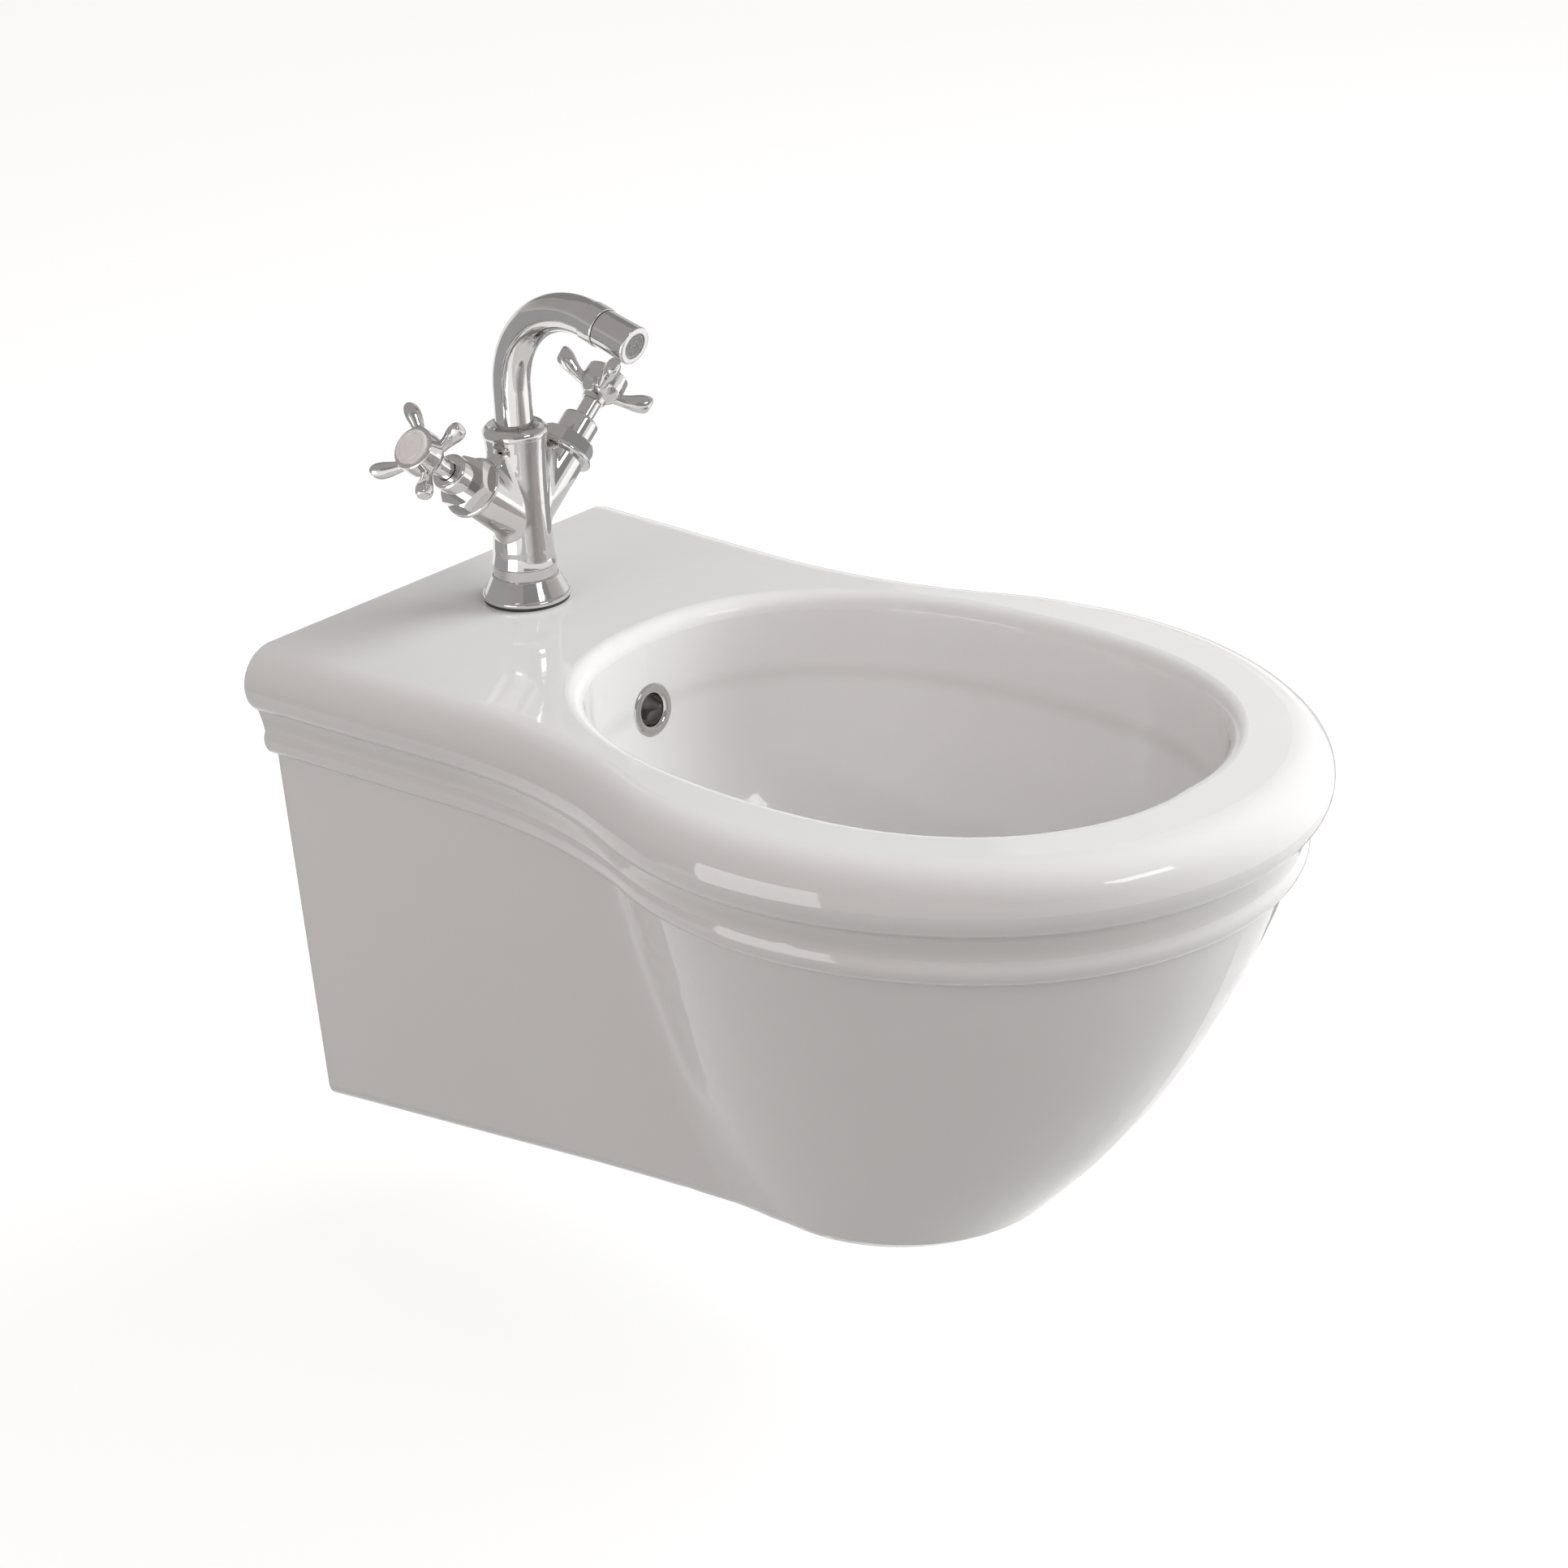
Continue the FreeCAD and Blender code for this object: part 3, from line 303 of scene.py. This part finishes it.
for name, (azimuth, elevation, distance, width, height, level) in CARDS.items():
    bpy.ops.mesh.primitive_plane_add(size=1.0)
    card = bpy.context.object
    card.name = name
    card.scale = (width, height, 1.0)
    face_aim(card, azimuth, elevation, distance)
    card_finish, output = new_material(name + " glow")
    lit = add_node(card_finish.node_tree, "ShaderNodeEmission", Strength=level)
    card_finish.node_tree.links.new(lit.outputs[0], output.inputs["Surface"])
    card.data.materials.append(card_finish)
    card.visible_camera = False
    card.visible_diffuse = False
    card.visible_shadow = False
    print("card", name, "at level", level)

# %% [markdown]
# ## Effects that several finishes share
#
# Glaze, plating, rubber and plastic all vary a little from place to place. The slow change of
# tone and the fine unevenness of the surface are built once as shader groups. Both read Object
# coordinates, so the pattern sits in the piece itself, at its real scale, and moves with it.


# %% Shared effects
def new_group(name, inputs, output):
    """Empty shader group with named value inputs and one value output."""
    group = bpy.data.node_groups.new(name, "ShaderNodeTree")
    for socket, value in inputs.items():
        made = group.interface.new_socket(socket, in_out="INPUT", socket_type="NodeSocketFloat")
        made.default_value = value
    group.interface.new_socket(output, in_out="OUTPUT", socket_type="NodeSocketFloat")
    return group, group.nodes.new("NodeGroupInput"), group.nodes.new("NodeGroupOutput")


def mottling_group():
    """Slow change of tone, from 0 to 1."""
    group, given, result = new_group("slow mottling", {"Scale": 20.0}, "Tone")
    place = add_node(group, "ShaderNodeTexCoord")
    noise = add_node(group, "ShaderNodeTexNoise", Detail=3.0, Roughness=0.55)
    spread = add_node(group, "ShaderNodeMapRange", From_Min=0.3, From_Max=0.7)
    group.links.new(place.outputs["Object"], noise.inputs["Vector"])
    group.links.new(given.outputs["Scale"], noise.inputs["Scale"])
    group.links.new(noise.outputs["Fac"], spread.inputs["Value"])
    group.links.new(spread.outputs["Result"], result.inputs["Tone"])
    return group


def unevenness_group():
    """Height of a fine unevenness, for a Bump node."""
    group, given, result = new_group("fine unevenness", {"Scale": 200.0}, "Height")
    place = add_node(group, "ShaderNodeTexCoord")
    noise = add_node(group, "ShaderNodeTexNoise", Detail=2.0, Roughness=0.5)
    group.links.new(place.outputs["Object"], noise.inputs["Vector"])
    group.links.new(given.outputs["Scale"], noise.inputs["Scale"])
    group.links.new(noise.outputs["Fac"], result.inputs["Height"])
    return group


mottling = mottling_group()
unevenness = unevenness_group()
print("shared effects:", mottling.name, "and", unevenness.name)

# %% [markdown]
# ## Building a finish
#
# Every finish here is one Principled shader with three things laid over it: two tones mixed by
# the mottling, a range of roughness that follows the same mottling, and a very shallow bump.
# What is constant, such as how metallic it is, is set on the shader's own socket.


# %% Finish builder
def place_group(tree, group, **inputs):
    """A shared effect placed in a material with its own values."""
    made = add_node(tree, "ShaderNodeGroup")
    made.node_tree = group
    for name, value in inputs.items():
        made.inputs[name].default_value = value
    return made


def finish(name, tones, roughness, mottle, grain, depth, **constants):
    """Material from two tones, a range of roughness, and its mottling, grain and grain depth."""
    material, output = new_material(name)
    tree = material.node_tree
    shader = add_node(tree, "ShaderNodeBsdfPrincipled", **constants)
    tone = place_group(tree, mottling, Scale=mottle).outputs["Tone"]
    worn = add_node(tree, "ShaderNodeMapRange", To_Min=roughness[0], To_Max=roughness[1])
    uneven = place_group(tree, unevenness, Scale=grain)
    bump = add_node(tree, "ShaderNodeBump", Strength=1.0, Distance=depth)
    tree.links.new(mixed_colour(tree, *tones, tone), shader.inputs["Base Color"])
    tree.links.new(tone, worn.inputs["Value"])
    tree.links.new(worn.outputs["Result"], shader.inputs["Roughness"])
    tree.links.new(uneven.outputs["Height"], bump.inputs["Height"])
    tree.links.new(bump.outputs["Normal"], shader.inputs["Normal"])
    tree.links.new(shader.outputs["BSDF"], output.inputs["Surface"])
    return material


print("finish builder ready")

# %% [markdown]
# ## Glazed china
#
# The glaze is a layer of glass about half a millimetre thick over a white body. It is nearly a
# mirror, with the faint waviness that molten glass keeps when it sets. In the hollow of the
# moulding under the rim its colour is made a little darker, as painted shade. The face that lies
# on the wall is wiped before firing and stays as matt biscuit. A painted mask could mark these
# places, but they lie at a known height and depth on the casting, so Object coordinates are enough.

# %% Glazed china
GLAZE_TONES = ((0.722, 0.709, 0.706), (0.712, 0.696, 0.692))
# painted shade: a darker glaze colour laid in the cove under the rim
GLAZE_PAINTED_SHADE = (0.595, 0.58, 0.57)
GLAZE_ROUGHNESS = (0.04, 0.07)
GLAZE_WAVES = 0.12 * MM
COVE_SHADE_SHARE = 0.45
BISCUIT = (0.66, 0.62, 0.56)
BISCUIT_ROUGHNESS = 0.75
COVE_BELOW_DECK = 43.0 * MM
COVE_HALF_HEIGHT = 8.0 * MM
WIPED_DEPTH = 1.2 * MM


def glazed_china():
    """Glaze over a white body, with painted shade in the cove, wiped off the wall face."""
    material = finish("glazed china", tones=GLAZE_TONES, roughness=GLAZE_ROUGHNESS, mottle=9.0,
                      grain=55.0, depth=GLAZE_WAVES, IOR=1.52, Coat_Weight=0.25,
                      Coat_Roughness=0.02)
    tree = material.node_tree
    shader = next(node for node in tree.nodes if node.type == "BSDF_PRINCIPLED")
    glaze = shader.inputs["Base Color"].links[0].from_socket
    gloss = shader.inputs["Roughness"].links[0].from_socket
    axes = object_axes(tree)
    cove = arithmetic(tree, "SUBTRACT", axes["Z"], deck_height - COVE_BELOW_DECK)
    off_cove = arithmetic(tree, "ABSOLUTE", cove)
    # painted shade mask: strongest at the cove's middle height, fading out above and below
    cove_shade = ramp_between(tree, off_cove, COVE_HALF_HEIGHT, 0.0)
    part_cove_shade = arithmetic(tree, "MULTIPLY", cove_shade, COVE_SHADE_SHARE)
    wiped = ramp_between(tree, axes["Y"], -WIPED_DEPTH, -WIPED_DEPTH / 2)
    colour = mixed_colour(tree, glaze, GLAZE_PAINTED_SHADE, part_cove_shade)
    tree.links.new(mixed_colour(tree, colour, BISCUIT, wiped), shader.inputs["Base Color"])
    matt = add_node(tree, "ShaderNodeMix", B=BISCUIT_ROUGHNESS)
    tree.links.new(wiped, matt.inputs["Factor"])
    tree.links.new(gloss, matt.inputs["A"])
    tree.links.new(matt.outputs["Result"], shader.inputs["Roughness"])
    return material


china = glazed_china()
print("finish made:", china.name)

# %% [markdown]
# ## Chrome and the other metals
#
# Chrome plating is a mirror with a soft grey of its own. On a tap it is polished by hand before
# plating, so reflections swim very slightly, and handling leaves faint changes of gloss. The
# nut and the waste's back nut are bare brass, and the stud, the plate, the screws and the
# plug's stem are stainless steel with a turned, satin look. Pictures of worn metal could be
# wrapped round them, but the finish builder gives such changes at any size, with no seam.

# %% Metals
chrome = finish("polished chrome", tones=((0.755, 0.742, 0.735), (0.705, 0.69, 0.683)),
                roughness=(0.03, 0.07), mottle=45.0, grain=90.0, depth=0.01 * MM, Metallic=1.0)
steel = finish("satin steel", tones=((0.58, 0.575, 0.57), (0.48, 0.475, 0.47)),
               roughness=(0.24, 0.36), mottle=260.0, grain=900.0, depth=0.01 * MM, Metallic=1.0)
brass = finish("bare brass", tones=((0.74, 0.55, 0.27), (0.60, 0.43, 0.20)),
               roughness=(0.20, 0.38), mottle=120.0, grain=600.0, depth=0.02 * MM, Metallic=1.0)
print("finishes made:", chrome.name, steel.name, brass.name)

# %% [markdown]
# ## Rubber, plastic and the valve's discs
#
# Seals are black moulded rubber with a dusty bloom, the sleeves, the socket and the aerator are
# grey plastic with a fine moulded grain, and the discs that open and shut the water are lapped
# alumina. The index in each handle is pale enamel. They differ only in their values, so one
# builder makes them all, and a list then gives every solid the finish of its slot.

# %% Rubber, plastic, alumina and enamel
rubber = finish("black rubber", tones=((0.028, 0.028, 0.028), (0.055, 0.053, 0.05)),
                roughness=(0.62, 0.82), mottle=160.0, grain=1500.0, depth=0.05 * MM)
plastic = finish("grey plastic", tones=((0.46, 0.455, 0.45), (0.40, 0.395, 0.39)),
                 roughness=(0.36, 0.5), mottle=90.0, grain=1800.0, depth=0.03 * MM)
alumina = finish("lapped alumina", tones=((0.88, 0.86, 0.80), (0.83, 0.81, 0.76)),
                 roughness=(0.28, 0.4), mottle=200.0, grain=2400.0, depth=0.005 * MM)
enamel = finish("pale enamel", tones=((0.80, 0.775, 0.76), (0.75, 0.722, 0.705)),
                roughness=(0.08, 0.16), mottle=320.0, grain=700.0, depth=0.01 * MM,
                Coat_Weight=0.4, Coat_Roughness=0.03)
FINISHES = {"ceramic": china, "chrome": chrome, "steel": steel, "brass": brass,
            "rubber": rubber, "plastic": plastic, "disc": alumina, "index": enamel}
subparts = frame["record"]["subparts"]
for part in subparts:
    solid = nodes[part["node"]]
    solid.data.materials.clear()
    solid.data.materials.append(FINISHES[part["material_slot"]])
print("finishes given to", len(subparts), "solids")

# %% [markdown]
# ## Modelling helpers
#
# New pieces are modelled with the same operators as by hand. An operator acts on all that is
# selected, so each piece starts from an empty selection. When a piece is done, its place is
# applied into its mesh, it gets its name and finish, and it rides on the body that carries it.


# %% Modelling helpers
def deselect():
    """Nothing selected, so that the next operator acts on the new piece alone."""
    if bpy.context.object and bpy.context.object.mode != "OBJECT":
        bpy.ops.object.mode_set(mode="OBJECT")
    bpy.ops.object.select_all(action="DESELECT")


def pick_faces(piece, test):
    """In edit mode with only the faces selected that pass a test."""
    bpy.ops.object.mode_set(mode="EDIT")
    bpy.ops.mesh.select_mode(type="FACE")
    bpy.ops.mesh.select_all(action="DESELECT")
    bpy.ops.object.mode_set(mode="OBJECT")
    for polygon in piece.data.polygons:
        polygon.select = test(polygon)
    bpy.ops.object.mode_set(mode="EDIT")


def settle(piece, name, slot, body):
    """Apply a piece's place into its mesh, name it, finish it and let it ride on a body."""
    bpy.ops.object.transform_apply(location=True, rotation=True, scale=True)
    piece.name = name
    piece.data.name = name
    piece.data.materials.clear()
    piece.data.materials.append(FINISHES[slot])
    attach(piece, body)


print("modelling helpers ready")

# %% [markdown]
# ## Aerator's wire mesh
#
# Water leaves the nozzle through a woven wire screen that breaks it into a soft stream. A
# picture of a screen with holes would stay flat, so the wires are real. A grid is the natural
# start: it is cut to a round of the insert's size, and a Wireframe modifier turns its edges
# into wires.

# %% Aerator mesh
MESH_CELLS = 15
MESH_RADIUS = 6.0 * MM
WIRE = 0.32 * MM


def reach_along(node, axis):
    """Furthest reach of a solid along an axis through the origin."""
    return max(vertex.co.dot(axis) for vertex in nodes[node].data.vertices)


swing_axis = Vector(joints["nozzle_swing"]["axis"])
nozzle_pivot = Vector(joints["nozzle_swing"]["pos_m"])
nozzle_axis = swing_axis.cross(Vector((1, 0, 0)))
if nozzle_axis.y > 0:
    nozzle_axis = -nozzle_axis
mesh_level = reach_along("aerator", nozzle_axis) - nozzle_pivot.dot(nozzle_axis) - 0.5 * WIRE
deselect()
bpy.ops.mesh.primitive_grid_add(x_subdivisions=MESH_CELLS, y_subdivisions=MESH_CELLS,
                                size=2 * MESH_RADIUS)
aerator_mesh = bpy.context.object
pick_faces(aerator_mesh, lambda polygon: polygon.center.length > MESH_RADIUS)
bpy.ops.mesh.delete(type="FACE")
bpy.ops.object.mode_set(mode="OBJECT")
wires = aerator_mesh.modifiers.new("wires", "WIREFRAME")
wires.thickness = WIRE
wires.use_boundary = True
bpy.ops.object.modifier_apply(modifier=wires.name)
aerator_mesh.rotation_mode = "QUATERNION"
aerator_mesh.rotation_quaternion = nozzle_axis.to_track_quat("Z", "Y")
aerator_mesh.location = nozzle_pivot + nozzle_axis * mesh_level
settle(aerator_mesh, "aerator_mesh", "steel", "nozzle")
print("aerator mesh of", len(aerator_mesh.data.polygons), "faces")

# %% [markdown]
# ## Threads
#
# A thread is a small triangle carried round a bar, rising by one pitch in each turn. It could be
# built vertex by vertex along a helix, but a circle of three vertices is that triangle already,
# and the Screw modifier carries it.

# %% Thread helper
TURN_STEPS = 24
TURN_FILL = 0.96
TRIANGLE_WIDTH = math.sqrt(3)
QUARTER_TURN = math.radians(90)
SMOOTH_BELOW = math.radians(30)


def thread_turns(crest, pitch, turns):
    """Turns of a triangular thread about z, rising from z = 0, out to a crest radius."""
    size = TURN_FILL * pitch / TRIANGLE_WIDTH
    deselect()
    bpy.ops.mesh.primitive_circle_add(vertices=3, radius=size, location=(crest - size, 0, 0),
                                      rotation=(QUARTER_TURN, QUARTER_TURN, 0))
    made = bpy.context.object
    bpy.ops.object.transform_apply(location=True, rotation=True, scale=True)
    screw = made.modifiers.new("turns", "SCREW")
    screw.screw_offset = pitch
    screw.iterations = turns
    screw.steps = TURN_STEPS
    screw.render_steps = TURN_STEPS
    bpy.ops.object.modifier_apply(modifier=screw.name)
    bpy.ops.object.mode_set(mode="EDIT")
    bpy.ops.mesh.select_all(action="SELECT")
    bpy.ops.mesh.fill_holes(sides=3)
    bpy.ops.mesh.normals_make_consistent(inside=False)
    bpy.ops.object.mode_set(mode="OBJECT")
    return made


print("thread helper ready, with", TURN_STEPS, "steps to a turn")

# %% [markdown]
# ## Stud under the tap
#
# A threaded steel stud pulls the tap down on the deck. A bump in the finish would not show at
# the stud's outline, so the turns are real and stand on a thinner core with chamfered ends.
# Together they replace the plain bar of the solids.

# %% Threaded stud
STUD_PITCH = 1.0 * MM
STUD_DEPTH = 0.6 * MM
FREE_TURNS = 2
END_FACING = 0.5

low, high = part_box("tap_stud")
stud_middle = 0.5 * (low + high)
stud_radius = 0.5 * (high.x - low.x)
stud_length = high.z - low.z
stud_turns = int(stud_length / STUD_PITCH) - FREE_TURNS
turns = thread_turns(stud_radius, STUD_PITCH, stud_turns)
turns.location = (stud_middle.x, stud_middle.y, low.z + STUD_PITCH)
deselect()
bpy.ops.mesh.primitive_cylinder_add(vertices=TURN_STEPS, radius=stud_radius - STUD_DEPTH,
                                    depth=stud_length, location=stud_middle)
stud = bpy.context.object
pick_faces(stud, lambda polygon: abs(polygon.normal.z) > END_FACING)
bpy.ops.mesh.bevel(offset=0.5 * STUD_DEPTH, segments=2)
bpy.ops.object.mode_set(mode="OBJECT")
turns.select_set(True)
bpy.ops.object.join()
bpy.ops.object.shade_smooth_by_angle(angle=SMOOTH_BELOW)
settle(stud, "threaded_stud", "steel", "bidet")
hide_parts("tap_stud")
print("stud thread of", stud_turns, "turns,", len(stud.data.polygons), "faces")

# %% [markdown]
# ## Tail of the waste
#
# The tail under the bowl has a pipe thread for the trap's nut. Its bar is already there as a
# solid, so the turns alone are laid round it, and the solid stays as it is.

# %% Tail thread
TAIL_PITCH = 2.309 * MM
TAIL_RISE = 0.35 * MM
TAIL_TURNS = 11

tail_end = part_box("waste_body")[0].z
outlet = next(mount for mount in frame["record"]["mounts"] if mount["name"] == "waste_outlet")
tail_radius = outlet["dims"]["r_mm"] * MM
tail = thread_turns(tail_radius + TAIL_RISE, TAIL_PITCH, TAIL_TURNS)
tail.location = (outlet["pos_m"][0], outlet["pos_m"][1], tail_end + TAIL_PITCH)
bpy.ops.object.shade_smooth_by_angle(angle=SMOOTH_BELOW)
settle(tail, "waste_tail_thread", "chrome", "bidet")
print("tail thread of", TAIL_TURNS, "turns,", len(tail.data.polygons), "faces")
